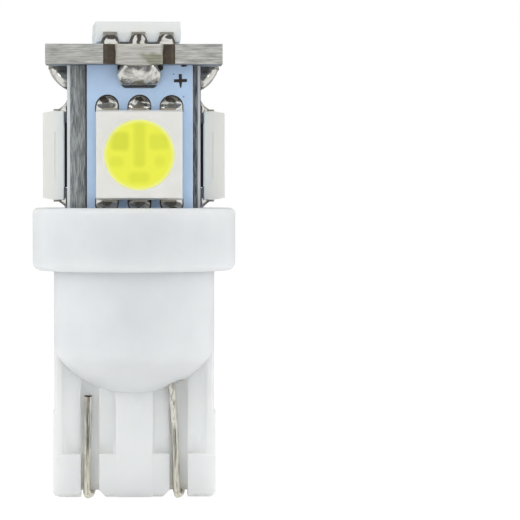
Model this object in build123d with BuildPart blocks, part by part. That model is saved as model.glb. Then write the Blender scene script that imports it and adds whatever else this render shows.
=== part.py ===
from build123d import *
import math
import os

# Wedge base LED bulb, in millimetres. +Z runs up the bulb to the top LED, the blade's broad faces look
# along Y, and the origin lies on the bulb's axis at the lowest point of the wire loops.

# Lead wires
wire_diameter = 0.45
wire_clearance = 0.02  # between a wire and the plastic or board beside it
wire_bend = 0.5  # bend radius where a wire turns under the blade
wire_drop = 0.15  # how far the wire loops hang below the feet
wire_tail_gap = 0.04  # from a wire's cut end up to the lowest point of the dome
wire_lean = 0.1  # how far a wire strays from the middle of its groove
wire_tilt_height = 2.6  # stretch over which a wire slips from its hole into the groove
wire_exit_inset = 0.13  # wire's centre beyond the groove's inner edge, where it leaves the hole
wire_exit_lift = 0.075  # clear space between the wire and the panel at that place
wire_edge_gap = 0.065  # between the wire and the groove's edge where it lies in the groove
wire_hole_play = 0.325  # free space around a wire in its hole
wire_hole_shift = 0.1  # the hole's centre lies outside the wire's
wire_bend_wide = 3.0  # bend radius above the groove
wire_pad_offset = 0.8  # sideways place of a wire on the board it is soldered to
wire_pad_length = 1.5  # stretch of wire that lies on its board above the solder's start

# Wedge blade
blade_width = 9.5
blade_length = 8.43  # from the feet to the neck
blade_growth = 0.1  # how much wider the lower blade is
blade_growth_height = 5.05
web_thickness = 1.2  # between the floors of opposite wire grooves
blade_inset = 0.02  # how far the round sides of the blade lie inside the neck
panel_thickness = 1.8
rib_width = 2.16
rib_thickness = 2.44
rail_width = 0.5
rail_thickness = 2.1
bead_height = 2.55
bead_thickness = 2.3
bead_round = 0.18
groove_pitch = 5.22
groove_width = 1.08
notch_height = 0.35
detent_width = 2.7
detent_height = 1.1
detent_depth = 0.3
foot_chamfer = 0.4
foot_lead_in = 0.2

# Neck and collar
neck_height = 4.92
neck_round = 1.5  # where the neck turns into the dome
neck_wall = 1.05
dome_height = 2.4
dome_wall = 2.1  # plastic between the lowest point of the dome and the bore
collar_height = 3.7
collar_wall = 0.74
collar_top_round = 0.35
collar_bottom_round = 0.5
recess_depth = 2.9
recess_clearance = 0.1  # between the tower's corners and the recess wall

# Upright boards
board_width = 6.2
board_thickness = 1.08
board_lap = 0.6  # how much of the next board's edge a board covers
led_above_collar = 0.47
board_above_led = 2.63

# Top board
top_board_overhang = 1.22  # beyond the upright boards
top_board_thickness = 1.15
top_notch_width = 4.14
top_notch_depth = 0.35
top_notch_round = 0.3
top_solder_width = 2.69
top_solder_height = 1.36
top_solder_film = 0.27  # solder that climbs the notch
top_solder_round = 0.6

# LED
led_width = 5.0
led_length = 5.2  # along its leads
led_height = 1.42
led_face_inset = 0.12  # slope of the lens half on the lead sides
led_side_draft = 0.04
led_foot_chamfer = 0.05
led_foot_draft = 4  # degrees
belly_gap = 0.05  # between the belly of an LED and the board
belly_inset = 0.05
belly_clearance = 0.05  # beside the feet of the leads
led_slot_length = 2.7
led_slot_width = 0.08
led_slot_depth = 0.05
lens_diameter = 4.1
lens_wall_slope = 28  # degrees
rim_diameter = 4.4  # shallow step round the lens
rim_depth = 0.03
lens_meniscus = 0.02  # how far the fill stays below the step
fill_clearance = 0.02
lead_pitch = 1.65
lead_width = 0.8
lead_thickness = 0.2
lead_reach = 0.1  # how far a lead stands out of the housing
lead_foot = 0.8
pad_gap = 0.2  # between the pads under the lens
middle_pad_width = 0.8
middle_pad_end = -0.8  # how far the middle pad reaches past the lens centre
outer_pad_width = 1.4
outer_pad_end = 0.1
small_pad_width = 0.9
small_pad_end = -0.25
die_pad_width = 1.15
die_size = 0.6
die_inset = 0.05  # from a die's corner to the lens wall
die_height = 0.15
solder_pitch = 1.88
top_solder_pitch = 1.63  # the pads of the top board lie closer
solder_width = 1.36
solder_reach = 0.92  # beyond the housing
solder_height = 0.55
top_led_shift = 0.12  # the top LED sits a little off the middle and askew
top_led_turn = 3  # degrees
solder_slope = 30  # degrees

# Solder and parts inside the tower
resistor_length = 2.0
resistor_width = 1.25
resistor_height = 0.5
resistor_cap = 0.35
resistor_solder_reach = 0.35
corner_solder_leg = 0.7
corner_solder_height = 1.8
wire_solder_width = 1.3
wire_solder_height = 0.65
wire_solder_cover = 0.3  # solder beyond the wire's end
wire_solder_slope = 15  # degrees
inner_solder_rise = 0.4  # inner solder starts this far above the recess floor

# Heights
foot_z = wire_drop
neck_z = foot_z + blade_length
collar_z = neck_z + neck_height
collar_top_z = collar_z + collar_height
recess_z = collar_top_z - recess_depth
led_z = collar_top_z + led_above_collar + led_length / 2
board_top_z = led_z + led_length / 2 + board_above_led
top_face_z = board_top_z + top_board_thickness
dome_z = neck_z - dome_height
bore_z = dome_z + dome_wall
blade_top_z = neck_z + neck_round

# Places across
neck_radius = blade_width / 2
dome_radius = (neck_radius**2 + dome_height**2) / (2 * dome_height)
bore_radius = neck_radius - neck_wall
inner_half = (board_width - board_lap) / 2
tower_half = inner_half + board_thickness
board_mid = board_lap / 2
recess_radius = math.hypot(tower_half, inner_half + board_lap) + recess_clearance
collar_radius = recess_radius + collar_wall
top_board_width = 2 * (tower_half + top_board_overhang)
notch_wall = top_board_width / 2 - top_notch_depth

# Wire route
wire_radius = wire_diameter / 2
groove_x = groove_pitch / 2
groove_edge = groove_x - groove_width / 2
groove_y = web_thickness / 2 + wire_clearance + wire_radius
exit_x = groove_edge + wire_exit_inset
exit_y = panel_thickness / 2 + wire_exit_lift + wire_radius
hole_x = exit_x + wire_hole_shift
hole_radius = wire_radius + wire_hole_play
hole_mouth_z = dome_z + dome_radius - math.sqrt(dome_radius**2 - hole_x**2 - (exit_y + hole_radius) ** 2)
pad_y = inner_half - wire_clearance - wire_radius
wire_top_z = recess_z + inner_solder_rise + wire_pad_length

# Places in an LED
lead_z = led_height / 2
lead_end = led_length / 2 + lead_reach
lens_floor_z = lead_z + lead_thickness / 2
lens_rim_z = led_height - rim_depth
lens_depth = lens_rim_z - lens_floor_z
lens_radius = lens_diameter / 2
lens_floor_radius = lens_radius - lens_depth * math.tan(math.radians(lens_wall_slope))
die_ring = lens_floor_radius - die_size * math.sqrt(2) / 2 - die_inset
outer_pad_x = middle_pad_width / 2 + pad_gap + outer_pad_width / 2
solder_tip = led_length / 2 + solder_reach

sides = ("front", "right", "back", "left")


def keep(piece, name):
    """Label a finished piece and write it to its own STEP file."""
    piece.label = name
    export_step(piece, f"parts/{name}.step")


def turned(side):
    """The turn about the bulb's axis that carries a front piece to the given side."""
    return Location((0, 0, 0), (0, 0, 90 * sides.index(side)))


def on_side(side):
    """Where an LED's own frame lies on the outer face of an upright board."""
    face = Plane(origin=(board_mid, -tower_half, led_z), x_dir=(1, 0, 0), z_dir=(0, -1, 0))
    return turned(side) * face.location


os.makedirs("parts", exist_ok=True)

# Base housing: the blade comes first, so that its grooves end at the dome
with BuildPart() as base_housing:
    with BuildSketch(Plane.XY.offset(foot_z)) as blade_section:
        Rectangle(blade_width, panel_thickness)
        Rectangle(rib_width, rib_thickness)
        with GridLocations(blade_width - rail_width, 0, 2, 1):
            Rectangle(rail_width, rail_thickness)
        Circle(neck_radius - blade_inset, mode=Mode.INTERSECT)
    extrude(amount=blade_top_z - foot_z)
    with BuildSketch(Plane.XY.offset(foot_z)) as lower_edges:
        with GridLocations(blade_width + blade_growth - rail_width, 0, 2, 1):
            Rectangle(rail_width, rail_thickness)
    extrude(amount=blade_growth_height)

    # A pocket over the bead on each face, deepest at the bead, holds the socket's spring
    groove_planes = [Plane.YZ.offset(-groove_x), Plane.YZ.offset(groove_x)]
    with BuildSketch(*groove_planes) as detent_section:
        with BuildLine():
            Polyline(
                (panel_thickness / 2 - detent_depth, foot_z + bead_height),
                (rib_thickness, foot_z + bead_height),
                (rib_thickness, foot_z + bead_height + detent_height),
                (panel_thickness / 2, foot_z + bead_height + detent_height),
                close=True,
            )
        make_face()
        mirror(about=Plane.YZ)
    extrude(amount=detent_width / 2, both=True, mode=Mode.SUBTRACT)

    # The bead thickens the blade's foot
    with BuildSketch(Plane.YZ) as bead_section:
        with Locations((0, foot_z + bead_height / 2)):
            Rectangle(bead_thickness, bead_height)
        chamfer(bead_section.vertices().group_by(Axis.Y)[0], foot_lead_in)
        fillet(bead_section.vertices().group_by(Axis.Y)[-1], bead_round)
    extrude(amount=(blade_width + blade_growth) / 2, both=True)

    # Wire grooves on both faces, and the notches where the wires turn under the web
    groove_depth = (rib_thickness - web_thickness) / 2
    with BuildSketch(Plane.XY.offset(foot_z)) as groove_section:
        with GridLocations(groove_pitch, web_thickness + groove_depth, 2, 2):
            Rectangle(groove_width, groove_depth)
    extrude(amount=blade_length, mode=Mode.SUBTRACT)
    with BuildSketch(*groove_planes) as notch_section:
        with Locations((0, foot_z + notch_height / 2)):
            Rectangle(rib_thickness, notch_height)
        with BuildLine():
            Polyline(
                (web_thickness / 2, foot_z + notch_height),
                (web_thickness / 2, foot_z + 2 * notch_height),
                (web_thickness / 2 - notch_height, foot_z + notch_height),
                close=True,
            )
        make_face()
        mirror(about=Plane.YZ)
    extrude(amount=groove_width / 2, both=True, mode=Mode.SUBTRACT)

    # Bevelled corners of the centre foot, rounded corners of the outer feet
    foot_edge = (blade_width + blade_growth) / 2
    with BuildSketch(Plane.XZ) as foot_corners:
        with BuildLine():
            Polyline(
                (groove_edge - foot_chamfer, foot_z),
                (groove_edge, foot_z + foot_chamfer),
                (groove_edge, foot_z),
                close=True,
            )
        make_face()
        with BuildLine():
            Polyline(
                (foot_edge, foot_z + foot_chamfer), (foot_edge, foot_z), (foot_edge - foot_chamfer, foot_z)
            )
            RadiusArc((foot_edge - foot_chamfer, foot_z), (foot_edge, foot_z + foot_chamfer), -foot_chamfer)
        make_face()
        mirror(about=Plane.YZ)
    extrude(amount=rib_thickness, both=True, mode=Mode.SUBTRACT)

    # Dome, neck and collar, turned about the bulb's axis
    with BuildSketch(Plane.XZ) as neck_section:
        with BuildLine():
            RadiusArc((0, dome_z), (neck_radius, neck_z), -dome_radius)
            Polyline((neck_radius, neck_z), (neck_radius, collar_z), (0, collar_z), (0, dome_z))
        make_face()
        fillet(neck_section.vertices().group_by(Axis.X)[-1].sort_by(Axis.Y)[0], neck_round)
    revolve(axis=Axis.Z)
    with BuildSketch(Plane.XZ) as collar_section:
        with Locations((0, collar_z)):
            Rectangle(collar_radius, collar_height, align=(Align.MIN, Align.MIN))
        fillet(collar_section.vertices().sort_by(Axis.X)[-2:].sort_by(Axis.Y)[0], collar_bottom_round)
        fillet(collar_section.vertices().group_by(Axis.Y)[-1].sort_by(Axis.X)[-1], collar_top_round)
    revolve(axis=Axis.Z)

    # The recess holds the boards' feet, and the bore below it takes the wires
    with Locations((0, 0, collar_top_z)):
        CounterBoreHole(bore_radius, recess_radius, recess_depth, collar_top_z - bore_z)
    with Locations((hole_x, -exit_y, bore_z), (-hole_x, exit_y, bore_z)):
        Hole(hole_radius, bore_z - dome_z)

keep(base_housing.part, "base_housing")

# Lead wire: down the neck, out of its hole, down one groove, under the web and up the other groove
with BuildPart() as lead_wire:
    with BuildLine() as wire_path:
        FilletPolyline(
            (wire_pad_offset, -pad_y, wire_top_z),
            (wire_pad_offset, -pad_y, recess_z),
            (exit_x, -exit_y, bore_z + wire_diameter),
            (exit_x, -exit_y, hole_mouth_z),
            (groove_edge + wire_edge_gap + wire_radius, -groove_y, hole_mouth_z - wire_tilt_height),
            (groove_x - wire_lean, -groove_y, wire_radius),
            (groove_x + 2 * wire_lean, groove_y, wire_radius),
            (groove_x + wire_lean, groove_y, dome_z - wire_tail_gap),
            radius=[wire_bend_wide] * 4 + [wire_bend] * 2,
        )
    with BuildSketch(Plane(origin=wire_path.line @ 0, z_dir=wire_path.line % 0)):
        Circle(wire_radius)
    sweep()

wire_length = wire_path.wire().length
wire_volume = wire_length * math.pi * wire_radius**2
print(f"lead wire: {wire_length:.2f} mm long, {lead_wire.part.volume:.3f} of {wire_volume:.3f} mm3")
keep(lead_wire.part, "lead_wire_right")
keep(lead_wire.part.moved(turned("back")), "lead_wire_left")

# Upright board: its right end covers part of the next board's edge
with BuildPart() as upright_board:
    with Locations((-inner_half, -inner_half, recess_z)):
        Box(
            board_width,
            board_thickness,
            board_top_z - recess_z,
            align=(Align.MIN, Align.MAX, Align.MIN),
        )

# Top board, with a notch over each upright board
with BuildPart() as top_board:
    with BuildSketch(Plane.XY.offset(board_top_z)) as top_outline:
        Rectangle(top_board_width, top_board_width)
        with PolarLocations(0, 4):
            with Locations((board_mid, -top_board_width / 2)):
                RectangleRounded(
                    top_notch_width, 2 * top_notch_depth, top_notch_round, mode=Mode.SUBTRACT
                )
    extrude(amount=top_board_thickness)

keep(top_board.part, "top_board")

# Solder from an upright board to the top board: a round bulge below and a film up the notch
with BuildPart() as top_solder:
    with BuildSketch(Plane.YZ.offset(board_mid)) as bulge_section:
        with BuildLine():
            Polyline(
                (-tower_half, board_top_z - top_solder_height),
                (-tower_half, board_top_z),
                (-notch_wall, board_top_z),
                (-notch_wall, top_face_z),
                (-notch_wall - top_solder_film, top_face_z),
                (-notch_wall - top_solder_film, board_top_z),
            )
            RadiusArc(
                (-notch_wall - top_solder_film, board_top_z),
                (-tower_half, board_top_z - top_solder_height),
                -top_solder_height,
            )
        make_face()
    extrude(amount=top_solder_width / 2, both=True)
    with BuildSketch(Plane.XZ) as bulge_outline:
        with Locations((board_mid, board_top_z - top_solder_height)):
            Rectangle(
                top_solder_width,
                top_solder_height + top_board_thickness,
                align=(Align.CENTER, Align.MIN),
            )
        fillet(bulge_outline.vertices().group_by(Axis.Y)[0], top_solder_round)
    extrude(amount=top_board_width, mode=Mode.INTERSECT)

# Solder in the inner corner of two neighbouring boards
with BuildPart() as corner_solder:
    with BuildSketch(Plane.XY.offset(recess_z + inner_solder_rise)) as corner_section:
        with BuildLine():
            Polyline(
                (inner_half, -inner_half),
                (inner_half - corner_solder_leg, -inner_half),
                (inner_half, -inner_half + corner_solder_leg),
                close=True,
            )
        make_face()
    extrude(amount=corner_solder_height)

# Chip resistor upright on the inner face of a board, with its end caps and solder
resistor_face = Plane(origin=(board_mid, -inner_half, led_z), x_dir=(1, 0, 0), z_dir=(0, 1, 0))
cap_offset = (resistor_length - resistor_cap) / 2
on_board = (Align.CENTER, Align.CENTER, Align.MIN)
with BuildPart(resistor_face) as resistor:
    Box(resistor_width, resistor_length - 2 * resistor_cap, resistor_height, align=on_board)
with BuildPart(resistor_face) as resistor_caps:
    with Locations((0, -cap_offset, 0), (0, cap_offset, 0)):
        Box(resistor_width, resistor_cap, resistor_height, align=on_board)
with BuildPart() as resistor_solder:
    with BuildSketch(Plane.YZ.offset(board_mid)) as resistor_fillets:
        for end in (-1, 1):
            with BuildLine():
                Polyline(
                    (-inner_half, led_z + end * resistor_length / 2),
                    (-inner_half, led_z + end * (resistor_length / 2 + resistor_solder_reach)),
                    (-inner_half + resistor_height, led_z + end * resistor_length / 2),
                    close=True,
                )
            make_face()
    extrude(amount=resistor_width / 2, both=True)

# Solder that holds a wire's end on its board
with BuildPart() as wire_solder:
    joint_start = Plane(
        origin=(wire_pad_offset, -inner_half, wire_top_z + wire_solder_cover),
        x_dir=(1, 0, 0),
        z_dir=(0, 1, 0),
    )
    with BuildSketch(joint_start) as joint_outline:
        Rectangle(
            wire_solder_width,
            wire_pad_length + wire_solder_cover,
            align=(Align.CENTER, Align.MIN),
        )
    extrude(amount=wire_solder_height, taper=wire_solder_slope)
    add(lead_wire.part, mode=Mode.SUBTRACT)

keep(wire_solder.part, "front_wire_solder")
keep(wire_solder.part.moved(turned("back")), "back_wire_solder")
for side in sides:
    keep(upright_board.part.moved(turned(side)), f"{side}_board")
    keep(top_solder.part.moved(turned(side)), f"{side}_top_solder")
    keep(corner_solder.part.moved(turned(side)), f"{side}_corner_solder")
    keep(resistor.part.moved(turned(side)), f"{side}_resistor")
    keep(resistor_caps.part.moved(turned(side)), f"{side}_resistor_caps")
    keep(resistor_solder.part.moved(turned(side)), f"{side}_resistor_solder")

# LED in its own frame: the board lies at Z = 0, the lens looks along +Z and the leads point along Y
lead_planes = [Plane.YZ.offset(lead_pitch * step) for step in (-1, 0, 1)]
with BuildPart() as led_leads:
    with BuildSketch(*lead_planes) as lead_section:
        with BuildLine():
            Polyline(
                (lens_radius, lens_floor_z - lead_thickness),
                (lens_radius, lens_floor_z),
                (lead_end, lens_floor_z),
                (lead_end, 0),
                (lead_end - lead_foot, 0),
                (lead_end - lead_foot, lead_thickness),
                (lead_end - lead_thickness, lead_thickness),
                (lead_end - lead_thickness, lens_floor_z - lead_thickness),
                close=True,
            )
        make_face()
    extrude(amount=lead_width / 2, both=True)
    mirror(about=Plane.XZ)
    # Under the lens each lead ends in a pad; the two outer pads and one middle pad carry the dies
    for pad_x, edge_y, end_y, pad_width in (
        (-outer_pad_x, lens_radius, outer_pad_end, outer_pad_width),
        (0, lens_radius, middle_pad_end, middle_pad_width),
        (outer_pad_x, lens_radius, outer_pad_end, outer_pad_width),
        (-outer_pad_x, -lens_radius, small_pad_end, small_pad_width),
        (0, -lens_radius, middle_pad_end - pad_gap, die_pad_width),
        (outer_pad_x, -lens_radius, small_pad_end, small_pad_width),
    ):
        with Locations((pad_x, (edge_y + end_y) / 2, lead_z)):
            Box(pad_width, abs(edge_y - end_y), lead_thickness)

with BuildPart() as led_housing:
    with BuildSketch(Plane.XY.offset(lead_z)) as parting_outline:
        Rectangle(led_width, led_length)
    with BuildSketch(Plane.XY.offset(led_height)) as face_outline:
        Rectangle(led_width - 2 * led_side_draft, led_length - 2 * led_face_inset)
    loft()
    with BuildSketch(Plane.XY.offset(lead_z)) as lower_outline:
        Rectangle(led_width, led_length)
    extrude(amount=lead_thickness - lead_z, taper=led_foot_draft)
    chamfer(led_housing.edges().group_by(Axis.Z)[0], led_foot_chamfer)
    # A belly between the feet of the leads comes down almost to the board
    with BuildSketch(Plane.XY.offset(belly_gap)) as belly_outline:
        Rectangle(led_width - 2 * belly_inset, 2 * (lead_end - lead_foot - belly_clearance))
    extrude(amount=lead_thickness - belly_gap)
    with Locations((0, 0, led_height)):
        Hole(rim_diameter / 2, rim_depth)
    with BuildSketch(Plane.XY.offset(lens_rim_z)) as lens_outline:
        Circle(lens_radius)
    extrude(amount=-lens_depth, taper=lens_wall_slope, mode=Mode.SUBTRACT)
    with Locations((-led_width / 2, 0, lead_z), (led_width / 2, 0, lead_z)):
        Box(2 * led_slot_depth, led_slot_length, led_slot_width, mode=Mode.SUBTRACT)
    add(led_leads.part, mode=Mode.SUBTRACT)

with BuildPart() as led_dies:
    with Locations((0, 0, lens_floor_z)):
        with PolarLocations(die_ring, 3, start_angle=30, rotate=False):
            Box(die_size, die_size, die_height, align=on_board)

with BuildPart() as led_phosphor:
    with BuildSketch(Plane.XY.offset(lens_rim_z)) as fill_outline:
        Circle(lens_radius - fill_clearance)
    extrude(amount=-lens_depth, taper=lens_wall_slope)
    split(bisect_by=Plane.XY.offset(lens_rim_z - lens_meniscus), keep=Keep.BOTTOM)
    add(led_dies.part, mode=Mode.SUBTRACT)


def solder_mounds(pitch):
    """Solder on six leads: each mound has a round end, and the lead's outer face cuts it off."""
    with BuildPart() as mounds:
        with BuildSketch() as mound_outline:
            with Locations((0, solder_tip - solder_width / 2)):
                with GridLocations(pitch, 0, 3, 1):
                    Circle(solder_width / 2)
                    Rectangle(solder_width, solder_width, align=(Align.CENTER, Align.MAX))
        extrude(amount=solder_height, taper=solder_slope)
        split(bisect_by=Plane.XZ.offset(-lead_end), keep=Keep.BOTTOM)
        mirror(about=Plane.XZ)
    return mounds.part


led_places = {side: on_side(side) for side in sides}
led_places["top"] = Location((top_led_shift, 0, top_face_z), (0, 0, top_led_turn))
led_pieces = {
    "housing": led_housing.part,
    "phosphor": led_phosphor.part,
    "leads": led_leads.part,
    "dies": led_dies.part,
}
for side, place in led_places.items():
    mounds_pitch = top_solder_pitch if side == "top" else solder_pitch
    for piece_name, piece in {**led_pieces, "solder": solder_mounds(mounds_pitch)}.items():
        keep(piece.moved(place), f"{side}_led_{piece_name}")
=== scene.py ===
"""Finish a wedge base LED bulb: its moulded nylon base, tinned wires, circuit boards, solder and five LEDs.

The packed model is the frame. Each operator below dresses one group of its pieces or builds the smooth
surface that stands for it, and the last one sets up a white studio. Lengths are in metres unless a name
says otherwise.
"""

import math

import bmesh
import bpy
import numpy as np
from bpy.props import FloatProperty, FloatVectorProperty, PointerProperty
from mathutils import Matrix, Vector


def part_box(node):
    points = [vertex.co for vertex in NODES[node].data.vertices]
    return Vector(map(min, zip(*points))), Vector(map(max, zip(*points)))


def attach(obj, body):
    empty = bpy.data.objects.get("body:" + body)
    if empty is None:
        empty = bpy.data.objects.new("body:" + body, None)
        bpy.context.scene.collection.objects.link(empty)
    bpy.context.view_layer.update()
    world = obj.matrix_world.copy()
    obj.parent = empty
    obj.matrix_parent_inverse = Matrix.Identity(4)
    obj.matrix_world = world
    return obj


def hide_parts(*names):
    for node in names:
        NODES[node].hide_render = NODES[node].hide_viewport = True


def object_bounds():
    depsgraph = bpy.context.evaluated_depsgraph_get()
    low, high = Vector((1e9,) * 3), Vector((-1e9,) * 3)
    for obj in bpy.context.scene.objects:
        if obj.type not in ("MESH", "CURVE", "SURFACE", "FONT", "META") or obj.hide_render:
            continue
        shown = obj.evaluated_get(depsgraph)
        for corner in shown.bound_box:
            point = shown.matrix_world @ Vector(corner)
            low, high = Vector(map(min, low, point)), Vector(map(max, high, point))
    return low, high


bl_info = {
    "name": "Wedge base LED bulb",
    "version": (1, 0, 0),
    "blender": (4, 5, 0),
    "location": "View3D > Sidebar > Bulb",
    "description": "Finishes the plastic, boards, solder and LEDs of a wedge base bulb in a white studio",
    "category": "Object",
}

MM = 0.001
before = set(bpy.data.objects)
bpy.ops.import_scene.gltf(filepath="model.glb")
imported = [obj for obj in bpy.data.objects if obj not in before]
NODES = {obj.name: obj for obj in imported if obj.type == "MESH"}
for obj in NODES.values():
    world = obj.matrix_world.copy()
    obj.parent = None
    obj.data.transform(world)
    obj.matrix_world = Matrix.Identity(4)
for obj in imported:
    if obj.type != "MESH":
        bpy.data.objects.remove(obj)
cad_low, cad_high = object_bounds()
SIDES = ("front", "right", "back", "left")
LEDS = SIDES + ("top",)


def size_of(node):
    """Lowest corner, highest corner and centre of a node of the frame, as arrays."""
    low, high = (np.array(corner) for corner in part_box(node))
    return low, high, (low + high) / 2


# Places read from the frame
board_low, board_high, _ = size_of("front_board")
top_low, top_high, _ = size_of("top_board")
led_low, led_high, led_centre = size_of("front_led_housing")
fill_low, fill_high, _ = size_of("front_led_phosphor")
joint_low, joint_high, _ = size_of("front_led_solder")
bulge_low, bulge_high, bulge_centre = size_of("front_top_solder")
top_led_centre = size_of("top_led_housing")[2]
TOWER_HALF = -board_low[1]
UNDERSIDE = top_low[2]
TOP_FACE = top_high[2]
LED_HALF_LENGTH = (led_high[2] - led_low[2]) / 2
LEAD_REACH = size_of("front_led_leads")[1][2] - led_high[2]
SOLDER_REACH = joint_high[2] - led_high[2]
SOLDER_HALF_SPAN = (joint_high[0] - joint_low[0]) / 2

# Sizes that the frame doesn't give
TOP_LED_TURN = math.radians(3)
LED_LEVEL = 20 * MM
INK_THICKNESS = 0.012 * MM
MARK_BESIDE_AXIS = 2.69 * MM
MARK_BELOW_BOARD = 0.92 * MM
SEAM_HALF_WIDTH = 0.035 * MM
FILM_THICKNESS = 0.27 * MM
FILM_HALF_WIDTH_MM = 1.36
SECTION_POINTS = 112

# The fill: the slope of its cup's wall, and how far it goes past the CAD's fill
CUP_SLOPE = math.radians(28)
FILL_WIDER = 0.018 * MM
FILL_HIGHER = 0.015 * MM

# Copies of CAD meshes: points nearer than this are merged, seams flatter than this are dissolved, and
# edges sharper than this are bevelled. New pieces are shaded sharp over the last angle.
SAME_POINT = 0.001 * MM
FLAT_SEAM = math.radians(1)
SHARP_EDGE = math.radians(35)
SHARP_FOLD = math.radians(40)

# Two tones each, for small pieces
INK_TONES = ("#26221f", "#3a3532")
GLAZE_TONES = ("#17171a", "#2a2a2e")
DIE_TONES = ("#c8cda8", "#a5ab86")

# Spots of dried flux, in millimetres: place across, depth below the top board, width and height.
# Those at the waist are placed from the bulge's middle, the others from the bulb's axis. The two at the
# waist are painted shade in the corners beside the bulge as well as flux.
WAIST_SPOTS = ((-1.12, 0.15, 0.3, 0.36), (1.22, 0.17, 0.34, 0.4))
BOARD_SPOTS = ((2.3, 0.54, 0.09, 0.07), (2.88, 1.85, 0.07, 0.08), (2.88, 0.06, 0.34, 0.12))

# Pads of the lead frame under a fill: left, right, low and high, in millimetres, and how strongly each shows
PADS = (
    (-0.32, 0.34, -0.7, 1.9, 0.8),
    (-0.48, 0.46, 1.55, 1.8, 0.6),
    (-1.62, -0.6, 0.25, 1.32, 1.0),
    (0.56, 1.72, 0.3, 1.2, 0.75),
    (-1.72, -0.92, -0.7, -0.1, 0.55),
    (0.88, 1.5, -0.7, -0.08, 0.5),
    (-0.6, 0.56, -1.62, -1.0, 0.65),
)
PAD_CORNER_MM = 0.28
PAD_BLUR_MM = 0.38

# The three fillets of a row: middle and reach across of the painted dark reflection on each, in millimetres,
# and the least and greatest of their random heights, reaches and leans
FILLET_DARK_REFLECTION = ((-0.17, 0.24), (-0.02, 0.13), (-0.04, 0.32))
FILLET_SPREAD = ((0.94, 0.95, -0.06), (1.04, 1.03, 0.06))

# The studio, in metres: the floor's circles, and each softbox's name, place, width and power in watts
FLOOR_RADII = (0.02, 0.1, 0.5, 2.0)
BULB_MIDDLE = (0, 0, 0.016)
SOFTBOXES = (
    ("Left softbox", (-0.3, -0.22, 0.16), 0.12, 0.12),
    ("Right softbox", (0.32, -0.2, 0.1), 0.1, 0.09),
)


def linear(hex_colour):
    """Turn an sRGB hex colour into linear red, green and blue."""
    values = [int(hex_colour[i : i + 2], 16) / 255 for i in (1, 3, 5)]
    return tuple(v / 12.92 if v <= 0.04045 else ((v + 0.055) / 1.055) ** 2.4 for v in values)


def rgba(colour, tone=1.0):
    """A linear colour times one tone, or three, and never over white, with full opacity."""
    tones = tone if isinstance(tone, tuple) else (tone,) * 3
    return (*(min(1.0, c * t) for c, t in zip(colour, tones)), 1.0)


def colour_property(name, hex_colour, description):
    """A colour that the user can change, with an sRGB default."""
    return FloatVectorProperty(
        name=name,
        description=description,
        subtype="COLOR",
        size=3,
        min=0.0,
        max=1.0,
        default=linear(hex_colour),
    )


def length_property(name, millimetres, description):
    """A length that the user can change, with its default in millimetres."""
    return FloatProperty(
        name=name,
        description=description,
        unit="LENGTH",
        min=0.0,
        precision=5,
        default=millimetres * MM,
    )


def share_property(name, value, description):
    """A share from nothing to all."""
    return FloatProperty(
        name=name, description=description, subtype="FACTOR", min=0.0, max=1.0, default=value
    )


class PlasticSettings(bpy.types.PropertyGroup):
    """The moulded base and the LED bodies."""

    nylon: colour_property("Nylon", "#e7eaec", "Colour of the base")
    # Painted light: the pale colour painted into the base's hollows, for light from inside the nylon
    hollow: colour_property("Hollow", "#f8f8f5", "Colour of the base in its hollows")
    depth: length_property("Light depth", 1.6, "How far light travels inside the nylon")
    edge_round: length_property("Edge round", 0.06, "Rounding of the mould's outer edges")
    led_body: colour_property("LED body", "#edece8", "Colour of the LED bodies")
    # Painted light: the LED bodies' walls are painted paler than their face
    led_wall_painted_light: colour_property("LED wall", "#f4f4ee", "Colour of the LED bodies' walls")
    led_round: length_property("LED edge round", 0.065, "Rounding of the LED bodies' edges")
    gap: colour_property("Gap", "#14181c", "Colour of the shadow under the LEDs on edge")
    led_foot: length_property("LED foot", 0.18, "Height of the dark gap under the LEDs on edge")


class BoardSettings(bpy.types.PropertyGroup):
    """The circuit boards."""

    mask: colour_property("Solder mask", "#bfd9f8", "Colour of the boards' broad faces")
    # Painted shade: the top board's lower face is the same mask, painted darker as if in shade
    underside_painted_shade: colour_property("Underside", "#7c848b", "Colour of the top board's lower face")
    laminate: colour_property("Laminate", "#8a9294", "Colour of the left boards' cut edges")
    # Painted shade: the cut edges on the right are painted darker than those on the left
    laminate_right_painted_shade: colour_property("Right laminate", "#4d5c67", "Colour of the right ones")
    skin: colour_property("Skin", "#dde1e4", "Colour of the outermost layer on the cut edges")
    skin_depth: length_property("Skin depth", 0.17, "Thickness of that layer")
    top_laminate: colour_property("Top laminate", "#b5b5b1", "Colour of the top board's cut edges")
    # Charred laminate, painted darker for the shade in the notches
    notch: colour_property("Notch", "#5a5042", "Colour of the cut walls in the notches")
    edge_round: length_property("Edge round", 0.05, "Wear of the boards' edges")
    mark_size: length_property("Mark size", 0.76, "Length of the plus mark's arms")
    mark_stroke: length_property("Mark stroke", 0.18, "Width of the plus mark's arms")


class MetalSettings(bpy.types.PropertyGroup):
    """Solder, wires and leads."""

    solder: colour_property("Solder", "#e2e1dc", "Colour of the solder")
    wire: colour_property("Tinned wire", "#dbd9d0", "Colour of the lead wires")
    lead: colour_property("Lead", "#cbc3b4", "Colour of the LEDs' leads")
    # The flux colour also serves the painted dark reflections and shade on the solder and the painted
    # shadows on the board
    flux: colour_property("Flux", "#37322c", "Colour of the flux at the solder's edges")
    olive: colour_property("Olive film", "#8b8c72", "Colour of the flux on the film in the notch")
    joint_height: length_property("Joint height", 0.5, "Height of the fillets on the side LEDs' leads")
    top_joint_height: length_property("Top joint height", 0.67, "Height of the top LED's fillets")
    joint_width: length_property("Joint width", 1.38, "Width of the fillets on the LEDs' leads")
    top_joint_pitch: length_property("Top joint pitch", 1.63, "Pitch of the top LED's fillets")
    bulge_waist: length_property("Bulge waist", 2.3, "Width of the bulge just under the top board")
    bulge_foot: length_property("Bulge foot", 1.6, "Width of the bulge's flat lower end")


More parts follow.
